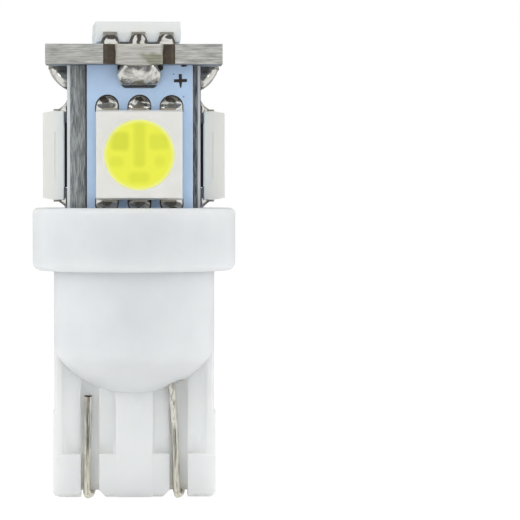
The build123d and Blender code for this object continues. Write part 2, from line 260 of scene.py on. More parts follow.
class LensSettings(bpy.types.PropertyGroup):
    """The phosphor fill of the LEDs."""

    phosphor: colour_property("Phosphor", "#f3f64e", "Colour of the fill")
    pads: colour_property("Pads", "#dfe543", "Colour of the fill where the lead frame shows through")
    rim: colour_property("Rim", "#fbffa8", "Colour of the fill where it thins out at the rim")
    dip: length_property("Dip", 0.05, "How far the fill sinks in its middle")


class StageSettings(bpy.types.PropertyGroup):
    """Camera, floor and light."""

    distance: length_property("Distance", 180.0, "From the bulb's axis to the camera")
    height: length_property("Height", 18.1, "Height of the camera over the floor")
    focal_mm: FloatProperty(
        name="Focal length", description="On a 36 mm sensor, in millimetres", default=210.2
    )
    turn: FloatProperty(
        name="Turn",
        description="How far the camera looks to the right of the bulb",
        subtype="ANGLE",
        default=math.radians(2.374),
    )
    tilt: FloatProperty(
        name="Tilt",
        description="How far the camera looks down",
        subtype="ANGLE",
        default=math.radians(1.273),
    )
    base_light: share_property("Base light", 0.42, "Brightness of the room for matt surfaces")
    left_light: share_property("Left light", 1.0, "How much brighter the left wall is")
    right_light: share_property("Right light", 0.9, "How much brighter the right wall is")
    ceiling_light: share_property("Ceiling light", 0.15, "How much brighter the ceiling is")
    dark: share_property("Dark", 0.08, "Brightness of the room round the camera in mirror surfaces")
    floor: colour_property("Floor", "#fafafa", "Colour of the floor")


def skin(rings, start=None, end=None):
    """Vertices and faces of a skin over closed rings.

    rings is an array of rings by points by 3. Four-sided faces join each ring to the next, and a fan of
    triangles closes the first ring to the point start and the last ring to the point end.
    """
    count, around = rings.shape[:2]
    here = np.arange(count * around).reshape(count, around)
    beside = np.roll(here, -1, axis=1)
    quads = np.stack([here[:-1], beside[:-1], beside[1:], here[1:]], axis=-1).reshape(-1, 4)
    vertices = [rings.reshape(-1, 3)]
    faces = quads.tolist()
    total = count * around
    if start is not None:
        vertices.append(np.reshape(start, (1, 3)))
        fan = np.stack([beside[0], here[0], np.full(around, total)], axis=-1)
        faces += fan.tolist()
        total += 1
    if end is not None:
        vertices.append(np.reshape(end, (1, 3)))
        fan = np.stack([here[-1], beside[-1], np.full(around, total)], axis=-1)
        faces += fan.tolist()
    return np.concatenate(vertices), faces


def join(parts):
    """One list of vertices and faces from several."""
    vertices = []
    faces = []
    offset = 0
    for part_vertices, part_faces in parts:
        vertices.append(part_vertices)
        faces += [[i + offset for i in face] for face in part_faces]
        offset += len(part_vertices)
    return np.concatenate(vertices), faces


def show(name, mesh, material, sharp):
    """Put a mesh into the scene with one material, smooth but for edges sharper than an angle."""
    mesh.polygons.foreach_set("use_smooth", np.ones(len(mesh.polygons), dtype=bool))
    mesh.set_sharp_from_angle(angle=sharp)
    mesh.materials.clear()
    mesh.materials.append(material)
    piece = bpy.data.objects.new(name, mesh)
    bpy.context.scene.collection.objects.link(piece)
    return piece


def new_piece(name, vertices, faces, material):
    """Make an object from arrays."""
    mesh = bpy.data.meshes.new(name)
    mesh.from_pydata(vertices.tolist(), [], faces)
    return show(name, mesh, material, SHARP_FOLD)


def stand_for(piece, node):
    """Put a piece in the place of a node of the frame, on the bulb's one body."""
    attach(piece, "root")
    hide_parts(node)


def softened(node, name, width, segments, material):
    """A copy of a node with its edges rounded: merged, freed of flat seams and bevelled."""
    mesh = NODES[node].data.copy()
    mesh.name = name
    work = bmesh.new()
    work.from_mesh(mesh)
    bmesh.ops.remove_doubles(work, verts=work.verts, dist=SAME_POINT)
    bmesh.ops.dissolve_limit(work, angle_limit=FLAT_SEAM, verts=work.verts, edges=work.edges)
    work.to_mesh(mesh)
    work.free()
    piece = show(name, mesh, material, SHARP_EDGE)
    bevel = piece.modifiers.new("Edge round", "BEVEL")
    bevel.width = width
    bevel.segments = segments
    bevel.limit_method = "ANGLE"
    bevel.angle_limit = SHARP_EDGE
    bevel.harden_normals = True
    stand_for(piece, node)


def dress(nodes, material):
    """Give nodes of the frame a material and leave their meshes alone."""
    for node in nodes:
        data = NODES[node].data
        data.materials.clear()
        data.materials.append(material)


def turned(side, points):
    """Carry points of the front side to another side by quarter turns about the bulb's axis."""
    steps = SIDES.index(side)
    cosine, sine = ((1, 0), (0, 1), (-1, 0), (0, -1))[steps]
    x, y, z = np.moveaxis(points, -1, 0)
    return np.stack([cosine * x - sine * y, sine * x + cosine * y, z], axis=-1)


def at_led(led, points):
    """Carry points from an LED's own frame to the bulb's.

    In that frame u runs across the leads, v along them and w out of the board, from the middle of the foot.
    """
    u, v, w = np.moveaxis(points, -1, 0)
    if led == "top":
        cosine, sine = math.cos(TOP_LED_TURN), math.sin(TOP_LED_TURN)
        x = top_led_centre[0] + cosine * u - sine * v
        y = top_led_centre[1] + sine * u + cosine * v
        return np.stack([x, y, TOP_FACE + w], axis=-1)
    front = np.stack([led_centre[0] + u, -TOWER_HALF - w, led_centre[2] + v], axis=-1)
    return turned(led, front)


def waves(points, seed, wavelength):
    """A smooth random field from minus one to one: the mean of six plane waves in random directions."""
    rng = np.random.default_rng(seed)
    count = 6
    directions = rng.normal(size=(count, 3))
    directions /= np.linalg.norm(directions, axis=1, keepdims=True)
    lengths = wavelength * rng.uniform(0.7, 1.4, count)
    phases = rng.uniform(0, 2 * math.pi, count)
    angles = points @ (directions / lengths[:, None]).T * 2 * math.pi + phases
    return np.sin(angles).mean(axis=-1)


def add_node(tree, kind, inputs=(), output=0, **settings):
    """Add a node, set its attributes, and fill its inputs, by order or by name, with values or links.

    It returns one of the node's outputs, or the node itself where output is None.
    """
    made = tree.nodes.new("ShaderNode" + kind)
    for name, value in settings.items():
        setattr(made, name, value)
    for name, value in inputs.items() if isinstance(inputs, dict) else enumerate(inputs):
        if isinstance(value, bpy.types.NodeSocket):
            tree.links.new(value, made.inputs[name])
        else:
            made.inputs[name].default_value = value
    return made if output is None else made.outputs[output]


def new_material(name):
    """A material and its empty node tree."""
    material = bpy.data.materials.new(name)
    material.use_nodes = True
    material.node_tree.nodes.clear()
    return material, material.node_tree


def finish_material(material, inputs, relief=None, depth=0.0, strength=1.0):
    """Give a material its Principled shader, with a pattern as relief of the given depth."""
    tree = material.node_tree
    if relief is not None:
        bump = {"Height": relief, "Distance": depth, "Strength": strength}
        inputs["Normal"] = add_node(tree, "Bump", bump)
    add_node(tree, "OutputMaterial", [add_node(tree, "BsdfPrincipled", inputs)], None)
    return material


def object_place(tree):
    """The three Object coordinates, a socket each."""
    place = add_node(tree, "TexCoord", output="Object")
    return add_node(tree, "SeparateXYZ", [place], None).outputs


def object_pattern(tree, size_mm, **noise):
    """Noise on Object coordinates whose grain is size_mm, or three sizes, across."""
    sizes = size_mm if isinstance(size_mm, tuple) else (size_mm,) * 3
    place = add_node(tree, "TexCoord", output="Object")
    scale = tuple(1 / (s * MM) for s in sizes)
    scaled = add_node(tree, "Mapping", {"Vector": place, "Scale": scale})
    return add_node(tree, "TexNoise", {"Vector": scaled, "Scale": 1.0, **noise})


def blend(tree, value, first, second, start, end, shares=(0, 1)):
    """A colour that turns from the first to the second as a value goes from start to end.

    shares are the parts of the second colour at start and at end.
    """
    share = add_node(tree, "MapRange", [value, start, end, *shares])
    return add_node(tree, "Mix", {0: share, 6: first, 7: second}, 2, data_type="RGBA")


def painted(tree, colour, name, toward):
    """A colour turned toward another by a number on the mesh's points, and that number."""
    share = add_node(tree, "Attribute", output="Fac", attribute_name=name)
    return add_node(tree, "Mix", {0: share, 6: colour, 7: toward}, 2, data_type="RGBA"), share


def mottled(name, size_mm, tones, roughness, detail=2.0):
    """A finish of two tones in cloudy patches."""
    material, tree = new_material(name)
    patch = object_pattern(tree, size_mm, Detail=detail)
    tone = add_node(tree, "Mix", {0: patch, 6: tones[0], 7: tones[1]}, 2, data_type="RGBA")
    return finish_material(material, {"Base Color": tone, "Roughness": roughness})


def moulded_nylon(plastic):
    """Natural nylon, injection moulded: near white, with a satin skin.

    Light that wanders inside the plastic would fill its deep hollows and shine through the blade more than
    through the thick neck; that light is painted into the colour, so both are painted paler than the rest.
    The mould's grain is too fine to show, and is drawn 0.12 mm coarse.
    """
    material, tree = new_material("Moulded white nylon")
    cloud = object_pattern(tree, 2.5, Detail=3.0)
    grain = object_pattern(tree, 0.12, Detail=2.0)
    height = object_place(tree)[2]
    openness = add_node(tree, "AmbientOcclusion", {"Distance": 1.2 * MM}, "AO", samples=8)
    # Painted light: the blade low down and the hollows that ambient occlusion finds are painted pale
    pale = rgba(plastic.hollow)
    tone = blend(tree, cloud, rgba(plastic.nylon), rgba(plastic.nylon, 0.955), 0.35, 0.65)
    tone = blend(tree, height, tone, pale, 6 * MM, 9 * MM, (0.3, 0))
    inputs = {
        "Base Color": blend(tree, openness, tone, pale, 0.1, 0.5, (1, 0)),
        "Roughness": 0.42,
        "IOR": 1.53,
        "Subsurface Weight": 0.8,
        "Subsurface Radius": (1.0, 0.95, 0.9),
        "Subsurface Scale": plastic.depth,
    }
    return finish_material(material, inputs, grain, 0.004 * MM)


def farthest_out(tree):
    """The larger of the distances from the bulb's two upright middle planes."""
    place = object_place(tree)
    reach = [add_node(tree, "Math", [place[axis]], operation="ABSOLUTE") for axis in (0, 1)]
    return add_node(tree, "Math", reach, operation="MAXIMUM")


def moulded_polyphthalamide(plastic, name, foot):
    """White reflector plastic of an LED body, moulded against polished steel: smooth with a soft shine.

    The walls are painted paler than the face, as painted light. On the upright boards the lowest part, up to
    foot over the board, is painted dark as the gap's shadow. The mould's grain is too fine to show, and is
    drawn 0.08 mm coarse.
    """
    material, tree = new_material(name)
    grain = object_pattern(tree, 0.08, Detail=2.0)
    cloud = object_pattern(tree, 1.2, Detail=2.0)
    if foot:
        reach, face = farthest_out(tree), -led_low[1]
    else:
        reach, face = object_place(tree)[2], cad_high[2]
    shade = rgba(plastic.led_body, (0.955, 0.965, 0.955))
    tone = blend(tree, cloud, rgba(plastic.led_body), shade, 0.35, 0.65)
    # Painted light: all but the outermost face is painted in the paler wall colour
    edge = (face - 0.05 * MM, face - 0.02 * MM)
    tone = blend(tree, reach, tone, rgba(plastic.led_wall_painted_light), *edge, (1, 0))
    if foot:
        top = TOWER_HALF + foot
        tone = blend(tree, reach, tone, rgba(plastic.gap), top - 0.02 * MM, top + 0.02 * MM, (1, 0))
    inputs = {
        "Base Color": tone,
        "Roughness": 0.3,
        "IOR": 1.55,
        "Subsurface Weight": 0.1,
        "Subsurface Radius": (1.0, 1.0, 1.0),
        "Subsurface Scale": 0.2 * MM,
    }
    return finish_material(material, inputs, grain, 0.002 * MM)


def phosphor_silicone(lens):
    """Clear silicone full of yellow phosphor powder: matt yellow, darker over the lead frame's pads.

    The powder is too fine to show, and is drawn 0.05 mm coarse.
    """
    material, tree = new_material("Phosphor silicone")
    powder = object_pattern(tree, 0.05, Detail=3.0)
    tone, _ = painted(tree, rgba(lens.phosphor), "pad", rgba(lens.pads))
    tone, _ = painted(tree, tone, "rim", rgba(lens.rim))
    inputs = {
        "Base Color": blend(tree, powder, tone, rgba(lens.pads), 0.3, 0.7, (0, 0.06)),
        "Roughness": 0.38,
        "IOR": 1.41,
        "Subsurface Weight": 0.15,
        "Subsurface Radius": (1.0, 0.9, 0.25),
        "Subsurface Scale": 0.15 * MM,
    }
    return finish_material(material, inputs, powder, 0.002 * MM)


def reflowed_solder(metal):
    """Tin solder that melted and set: a bright mirror with faint ripples, dark flux at its edges, and
    painted dark reflections and shade.
    """
    material, tree = new_material("Reflowed tin solder")
    ripple = object_pattern(tree, 0.3, Detail=2.0)
    grain = object_pattern(tree, 0.07, Detail=2.0)
    oxide = object_pattern(tree, 0.45, Detail=3.0, Roughness=0.6)
    tone = {0: grain, 6: rgba(metal.solder), 7: rgba(metal.solder, 0.84)}
    tone = add_node(tree, "Mix", tone, 2, data_type="RGBA")
    dull = rgba(metal.solder, (0.52, 0.5, 0.46))
    tone = blend(tree, oxide, tone, dull, 0.5, 0.68, (0, 0.65))
    tone, lead = painted(tree, tone, "lead", rgba(metal.lead, 0.6))
    # The flux number marks real flux and also the painted dark reflections and painted shade on the fillets
    # and bulges
    tone, flux = painted(tree, tone, "flux", rgba(metal.flux))
    inputs = {
        "Base Color": tone,
        "Metallic": add_node(tree, "MapRange", [flux, 0, 1, 0.92, 0.1]),
        "Roughness": add_node(tree, "MapRange", [lead, 0, 1, 0.12, 0.45]),
    }
    return finish_material(material, inputs, ripple, 0.025 * MM)


def solder_over_plating(metal):
    """Solder that ran up a plated notch: dull metal combed in level streaks by the milled wall below it."""
    material, tree = new_material("Solder over milled plating")
    streak = object_pattern(tree, (1.4, 1.4, 0.09), Detail=3.0)
    grain = object_pattern(tree, 0.25, Detail=3.0)
    dull = rgba(metal.solder, (0.68, 0.67, 0.62))
    tone = blend(tree, streak, rgba(metal.solder), dull, 0.4, 0.68)
    tone, olive = painted(tree, tone, "olive", rgba(metal.olive))
    tone, _ = painted(tree, tone, "flux", rgba(metal.flux))
    inputs = {
        "Base Color": tone,
        "Metallic": add_node(tree, "MapRange", [olive, 0, 1, 0.4, 0.25]),
        "Roughness": add_node(tree, "MapRange", [grain, 0.3, 0.7, 0.35, 0.5]),
    }
    return finish_material(material, inputs, streak, 0.02 * MM)


def tinned_wire(metal):
    """Copper wire dipped in tin and pulled through a wiper: bright, with streaks along its length.

    The tin is a little yellow low down, and the cut end at the front left and the back right is dark. The
    streaks are too fine to show, and are drawn 0.07 mm wide.
    """
    material, tree = new_material("Tinned copper wire")
    streak = object_pattern(tree, (0.07, 0.07, 2.5), Detail=2.0)
    patch = object_pattern(tree, (0.11, 0.11, 1.3), Detail=2.0)
    x, y, height = object_place(tree)
    warm = rgba(metal.wire, (0.93, 0.9, 0.72))
    tone = blend(tree, height, rgba(metal.wire), warm, 0.4 * MM, 4.5 * MM, (0.5, 0.03))
    tone = blend(tree, patch, tone, rgba(metal.wire, 0.62), 0.5, 0.6)
    quarter = add_node(tree, "Math", [x, y], operation="MULTIPLY")
    tail = add_node(tree, "MapRange", [quarter, 0, 1e-8, 0, 1])
    tip = add_node(tree, "MapRange", [height, wire_tip() - 0.1 * MM, wire_tip() - 0.07 * MM, 0, 1])
    cut = add_node(tree, "Math", [tail, tip], operation="MULTIPLY")
    inputs = {
        "Base Color": add_node(tree, "Mix", {0: cut, 6: tone, 7: rgba(metal.flux)}, 2, data_type="RGBA"),
        "Metallic": 1.0,
        "Roughness": add_node(tree, "MapRange", [streak, 0.35, 0.65, 0.06, 0.16]),
    }
    return finish_material(material, inputs, streak, 0.045 * MM)


def wire_tip():
    """Height of the left wire's cut end, its highest point at the front left."""
    mesh = NODES["lead_wire_left"].data
    points = np.empty(3 * len(mesh.vertices))
    mesh.vertices.foreach_get("co", points)
    x, y, z = points.reshape(-1, 3).T
    return float(z[x * y > 0].max())


def tin_plate(metal):
    """Thin tin plate on a stamped copper lead frame: grey, satin, a little brown from heat.

    The plate's grain is too fine to show, and is drawn 0.05 mm coarse.
    """
    material, tree = new_material("Tin plated lead frame")
    patch = object_pattern(tree, 0.3, Detail=3.0)
    grain = object_pattern(tree, 0.05, Detail=2.0)
    tone = {0: patch, 6: rgba(metal.lead), 7: rgba(metal.lead, 0.7)}
    tone = add_node(tree, "Mix", tone, 2, data_type="RGBA")
    inputs = {"Base Color": tone, "Metallic": 0.55, "Roughness": 0.45}
    return finish_material(material, inputs, grain, 0.005 * MM)


def board_face(tree, side_axis):
    """One on a board's broad faces and nothing on its edges, by the true normal along its thickness."""
    normal = add_node(tree, "NewGeometry", output="True Normal")
    along = add_node(tree, "SeparateXYZ", [normal], side_axis)
    size = add_node(tree, "Math", [along], operation="ABSOLUTE")
    return add_node(tree, "MapRange", [size, 0.75, 0.85, 0, 1])


def upright_laminate(board, name, side_axis):
    """Glass epoxy board with a pale blue mask on its faces and sawn glass layers on its edges.

    The outermost layer of the sawn edges is pale. The glass threads are too fine to show, and are drawn
    0.06 mm wide.
    """
    material, tree = new_material(name)
    face = board_face(tree, side_axis)
    weave = object_pattern(tree, 0.5, Detail=2.0)
    layers = object_pattern(tree, (0.06, 0.06, 0.8), Detail=4.0, Roughness=0.65)
    place = object_place(tree)
    # Painted shade: the laminate is painted darker toward the right
    core = blend(tree, place[0], rgba(board.laminate), rgba(board.laminate_right_painted_shade), -1 * MM, 1 * MM)
    black, white = rgba((0.01, 0.012, 0.012)), rgba((1, 1, 1))
    dark = add_node(tree, "Mix", {0: 0.5, 6: core, 7: black}, 2, data_type="RGBA")
    light = add_node(tree, "Mix", {0: 0.25, 6: core, 7: white}, 2, data_type="RGBA")
    sawn = blend(tree, layers, dark, light, 0.38, 0.64)
    reach = add_node(tree, "Math", [place[side_axis]], operation="ABSOLUTE")
    start = TOWER_HALF - board.skin_depth
    edge = blend(tree, reach, sawn, rgba(board.skin), start - 0.02 * MM, start + 0.02 * MM)
    mask = blend(tree, weave, rgba(board.mask), rgba(board.mask, 0.95), 0.3, 0.7)
    inputs = {
        "Base Color": add_node(tree, "Mix", {0: face, 6: edge, 7: mask}, 2, data_type="RGBA"),
        "Roughness": add_node(tree, "Mix", {0: face, 2: 0.7, 3: 0.3}, data_type="FLOAT"),
        "IOR": 1.52,
    }
    strength = add_node(tree, "Mix", {0: face, 2: 1.0, 3: 0.05}, data_type="FLOAT")
    return finish_material(material, inputs, layers, 0.015 * MM, strength)


def top_laminate(board):
    """The top board: level glass layers on its sawn edges and charred brown walls in its notches, painted
    darker for their shade.
    """
    material, tree = new_material("Glass epoxy top board")
    face = board_face(tree, 2)
    layers = object_pattern(tree, (1.0, 1.0, 0.075), Detail=4.0, Roughness=0.6)
    char = object_pattern(tree, (0.35, 0.35, 0.2), Detail=3.0)
    dark, light = rgba(board.top_laminate, 0.6), rgba(board.top_laminate, 1.3)
    sawn = blend(tree, layers, dark, light, 0.36, 0.66)
    # Charred walls, painted darker as shade in the notch
    charred_and_shaded = blend(tree, char, rgba(board.notch), rgba(board.notch, 0.65), 0.35, 0.65)
    inset = top_high[0] - 0.03 * MM
    edge = blend(tree, farthest_out(tree), charred_and_shaded, sawn, inset - 0.02 * MM, inset)
    # Painted shade: faces that look down are painted in the darker underside colour
    normal = add_node(tree, "NewGeometry", output="True Normal")
    upward = add_node(tree, "SeparateXYZ", [normal], 2)
    mask = blend(tree, upward, rgba(board.underside_painted_shade), rgba(board.mask), -0.1, 0.1)
    tone = add_node(tree, "Mix", {0: face, 6: edge, 7: mask}, 2, data_type="RGBA")
    inputs = {"Base Color": tone, "Roughness": 0.5, "IOR": 1.52}
    return finish_material(material, inputs, layers, 0.012 * MM, 0.8)


def printed_ink():
    """Black screen ink, matt."""
    return mottled("Black legend ink", 0.06, [rgba(linear(tone)) for tone in INK_TONES], 0.6)


def dried_flux(metal):
    """Rosin flux that dried dark brown, thin and glossy."""
    return mottled("Dried flux", 0.15, [rgba(metal.flux), rgba(metal.flux, 1.8)], 0.25)


def glazed_chip():
    """Alumina chip with a black glass glaze."""
    return mottled("Black glazed alumina", 0.1, [rgba(linear(tone)) for tone in GLAZE_TONES], 0.3)


def sapphire_die():
    """Gallium nitride on sapphire, a clear pale chip."""
    return mottled("Gallium nitride die", 0.15, [rgba(linear(tone)) for tone in DIE_TONES], 0.15, 1.0)


class BULB_OT_base(bpy.types.Operator):
    """Round the moulded base's edges and give it its nylon"""

    bl_idname = "bulb.base"
    bl_label = "Base"

    def execute(self, context):
        plastic = context.scene.bulb_plastic
        softened(
            "base_housing", "base", plastic.edge_round, 3, moulded_nylon(plastic)
        )
        return {"FINISHED"}


class BULB_OT_wires(bpy.types.Operator):
    """Give the lead wires their tin"""

    bl_idname = "bulb.wires"
    bl_label = "Lead wires"

    def execute(self, context):
        dress(["lead_wire_right", "lead_wire_left"], tinned_wire(context.scene.bulb_metal))
        return {"FINISHED"}


class BULB_OT_boards(bpy.types.Operator):
    """Give the five boards their mask and sawn edges, and print a plus mark on each upright one"""

    bl_idname = "bulb.boards"
    bl_label = "Boards"

    def execute(self, context):
        board = context.scene.bulb_board
        materials = {
            1: upright_laminate(board, "Glass epoxy board across Y", 1),
            0: upright_laminate(board, "Glass epoxy board across X", 0),
        }
        for side in SIDES:
            axis = 1 if side in ("front", "back") else 0
            softened(
                f"{side}_board", f"{side}_circuit_board", board.edge_round, 2, materials[axis]
            )
        dress(["top_board"], top_laminate(board))
        ink = printed_ink()
        for side in SIDES:
            vertices, faces = plus_mark(board.mark_size, board.mark_stroke)
            piece = new_piece(f"{side}_plus_mark", turned(side, vertices), faces, ink)
            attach(piece, "root")
        # One dark finish serves the dried flux and the painted shadows at the waist and the seam
        flux_and_shadow_finish = dried_flux(context.scene.bulb_metal)
        for number, side in enumerate(SIDES):
            vertices, faces = flux_and_shadow_marks(number)
            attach(new_piece(f"{side}_flux_and_shadow_marks", turned(side, vertices), faces, flux_and_shadow_finish), "root")
        return {"FINISHED"}


def plus_mark(size, stroke):
    """A flat printed plus on the front board.

    Its outline has twelve corners, three to each arm, and it stands out of the board by the ink's thickness.
    The lower arm is longer and ends in a point, and the whole mark leans a little.
    """
    arm, half = size / 2, stroke / 2
    quarter = np.array([(arm, -half), (arm, half), (half, half)])
    outline = [quarter @ np.array([[c, s], [-s, c]]) for c, s in ((1, 0), (0, 1), (-1, 0), (0, -1))]
    outline = np.concatenate(outline)
    lowest = outline[:, 1] < -0.9 * arm
    narrower, longer = 0.35, 1.08
    outline[lowest] *= np.array([narrower, longer])
    lean = math.radians(2)
    turn = np.array([[math.cos(lean), math.sin(lean)], [-math.sin(lean), math.cos(lean)]])
    return flat_ink(outline @ turn, MARK_BESIDE_AXIS, UNDERSIDE - MARK_BELOW_BOARD)


def dark_spot(across, up, width, height, seed):
    """An uneven dark spot on the front board, placed in millimetres from the axis and the top board.

    Its outline is an ellipse of a few points, each drawn in or out by a random factor.
    """
    points = 14
    angle = np.linspace(0, 2 * math.pi, points, endpoint=False)
    size = np.random.default_rng(seed).uniform(0.75, 1.2, points)
    outline = np.stack([np.cos(angle) * width, np.sin(angle) * height], axis=-1) * MM / 2
    return flat_ink(outline * size[:, None], across * MM, UNDERSIDE - up * MM)


def flux_and_shadow_marks(seed):
    """Dark marks on the front board: two spots of flux and painted shade at the bulge's waist, three more,
    and a painted shadow line at the seam.
    """
    waist = bulge_centre[0] / MM
    spots = [(waist + across, *rest) for across, *rest in WAIST_SPOTS] + list(BOARD_SPOTS)
    pieces = [dark_spot(*spot, 10 * seed + number) for number, spot in enumerate(spots)]
    # Painted shadow: a thin dark strip down the seam at the board's left end
    end = (board_high[2] - board_low[2]) / 2
    half = SEAM_HALF_WIDTH
    strip = np.array([(-half, -end), (half, -end), (half, end), (-half, end)])
    pieces.append(flat_ink(strip, board_low[0] + half, (board_low[2] + board_high[2]) / 2))
    return join(pieces)


def flat_ink(outline, across, up):
    """A thin flat piece on the front board: its outline, and the same outline the ink's thickness out."""
    centre = np.array([across, 0, up])
    out = np.array([0, INK_THICKNESS, 0])
    foot = np.stack([outline[:, 0], np.full(len(outline), -TOWER_HALF), outline[:, 1]], axis=-1)
    start = centre + np.array([0, -TOWER_HALF, 0])
    return skin(np.stack([foot, foot - out]) + centre, start, start - out)


class BULB_OT_top_solder(bpy.types.Operator):
    """Build the solder bulges under the top board and the film that climbs each notch"""

    bl_idname = "bulb.top_solder"
    bl_label = "Top solder"

    def execute(self, context):
        metal = context.scene.bulb_metal
        bright = reflowed_solder(metal)
        combed = solder_over_plating(metal)
        for number, side in enumerate(SIDES):
            bulge, bulge_flux = solder_bulge(metal.bulge_waist, metal.bulge_foot, number)
            film, film_flux, olive = solder_film(number)
            vertices, faces = join([bulge, film])
            piece = new_piece(f"{side}_solder_bulge", turned(side, vertices), faces, bright)
            piece.data.materials.append(combed)
            slots = np.repeat([0, 1], [len(bulge[1]), len(film[1])])
            piece.data.polygons.foreach_set("material_index", slots.astype(np.int32))
            add_attribute(piece, "flux", np.concatenate([bulge_flux, film_flux]))
            add_attribute(piece, "olive", np.concatenate([np.zeros(len(bulge_flux)), olive]))
            stand_for(piece, f"{side}_top_solder")
        return {"FINISHED"}


def add_attribute(piece, name, values):
    """Give a piece's vertices a number each, for its material to read."""
    attribute = piece.data.attributes.new(name, "FLOAT", "POINT")
    attribute.data.foreach_set("value", np.asarray(values).astype(np.float32))


def ramp(value, low, high):
    """A smooth step from nothing at low to one at high, which may be the smaller of the two."""
    share = np.clip((value - low) / (high - low), 0, 1)
    return share * share * (3 - 2 * share)


def wall_ring():
    """The angles of a section's front, from side to side, and places along its straight wall side."""
    angle = np.linspace(-math.pi / 2, math.pi / 2, SECTION_POINTS)
    wall = np.linspace(1, -1, SECTION_POINTS // 4)[1:-1]
    return angle, wall


def solder_bulge(waist, foot, seed):
    """The round bulge below the top board on the front side, and the flux and painted shade on it.

    t runs from 1 at the lower end to 0 at the board. A level section runs from side to side: x is the half
    width times the sine of an angle, and y stands out by the depth times a power of its cosine. The depth
    is the full reach times a power of 1 - t to the 1.7. The half width grows from the waist to its widest
    and then closes in a round curve on the flat foot. The corners against the upright board are drawn in
    near the top board, where dark flux sits, together with painted shade. The lower end is darker, and dark
    flux rims it where it meets the board. Dark scratches slant across a small patch left of its middle.
    """
    t = np.linspace(1, 0, 80)[:, None]
    height = UNDERSIDE - bulge_low[2]
    reach = -TOWER_HALF - bulge_low[1]
    widest = (bulge_high[0] - bulge_low[0]) / 2
    widest_at, pinch = 0.44, 0.16
    swell = np.sin(np.clip(t / widest_at, 0, 1) * math.pi / 2)
    closing = (1 - np.clip((t - widest_at) / (1 - widest_at), 0, 1) ** 1.6) ** 0.7
    upper = waist / 2 + (widest - waist / 2) * swell
    half_width = foot / 2 + (upper - foot / 2) * closing
    depth = reach * np.clip(1 - t**1.7, 1e-6, 1) ** 0.75
    angle, wall = wall_ring()
    front_power = 0.55
    out = np.cos(angle)[None, :] ** front_power
    corner = ramp(t, 0.5, 0.1) * (1 - out)
    x = half_width * np.sin(angle) * (1 - pinch * corner)
    y = -TOWER_HALF - depth * out
    wall_x = half_width * wall * (1 - pinch * ramp(t, 0.5, 0.1))
    x = np.concatenate([x, wall_x], axis=1)
    y = np.concatenate([y, np.full(wall_x.shape, -TOWER_HALF)], axis=1)
    z = np.broadcast_to(UNDERSIDE - height * t, x.shape)
    rings = np.stack([x + bulge_centre[0], y, z], axis=-1)
    stand = np.clip(-y - TOWER_HALF, 0, None) / reach
    rings[..., 1] -= (waves(rings, seed, 0.8 * MM) - 0.4) * 0.06 * MM * stand
    # Flux and painted shade: the corners by the board near the waist, where the drawn-in surface lies in
    # shadow
    corner_flux_and_shade = ramp(np.abs(x) / half_width, 0.8, 0.93) * ramp(t, 0.42, 0.2) * ramp(stand, 0.75, 0.6)
    lower = ramp(t + 0.02 * waves(rings, seed + 9, 0.5 * MM), 0.85, 0.89) * np.ones(x.shape)
    rim = ramp(stand, 0.1, 0.02)
    across, down = x / MM, height * t / MM
    scratch_pitch = 0.19
    scratch = np.abs(np.mod((across + down * 1.1) / scratch_pitch + 0.3, 1) - 0.5)
    patch = ramp(np.hypot(across + 0.62, (down - 1.02) * 1.5), 0.3, 0.2)
    scored = ramp(scratch, 0.16, 0.06) * patch
    flux = np.maximum.reduce([corner_flux_and_shade, lower, 0.9 * rim, 0.8 * scored * ramp(stand, 0.2, 0.4)])
    vertices, faces = skin(rings, rings[0].mean(axis=0), rings[-1].mean(axis=0))
    return (vertices, faces), np.append(flux.reshape(-1), [1, 0])


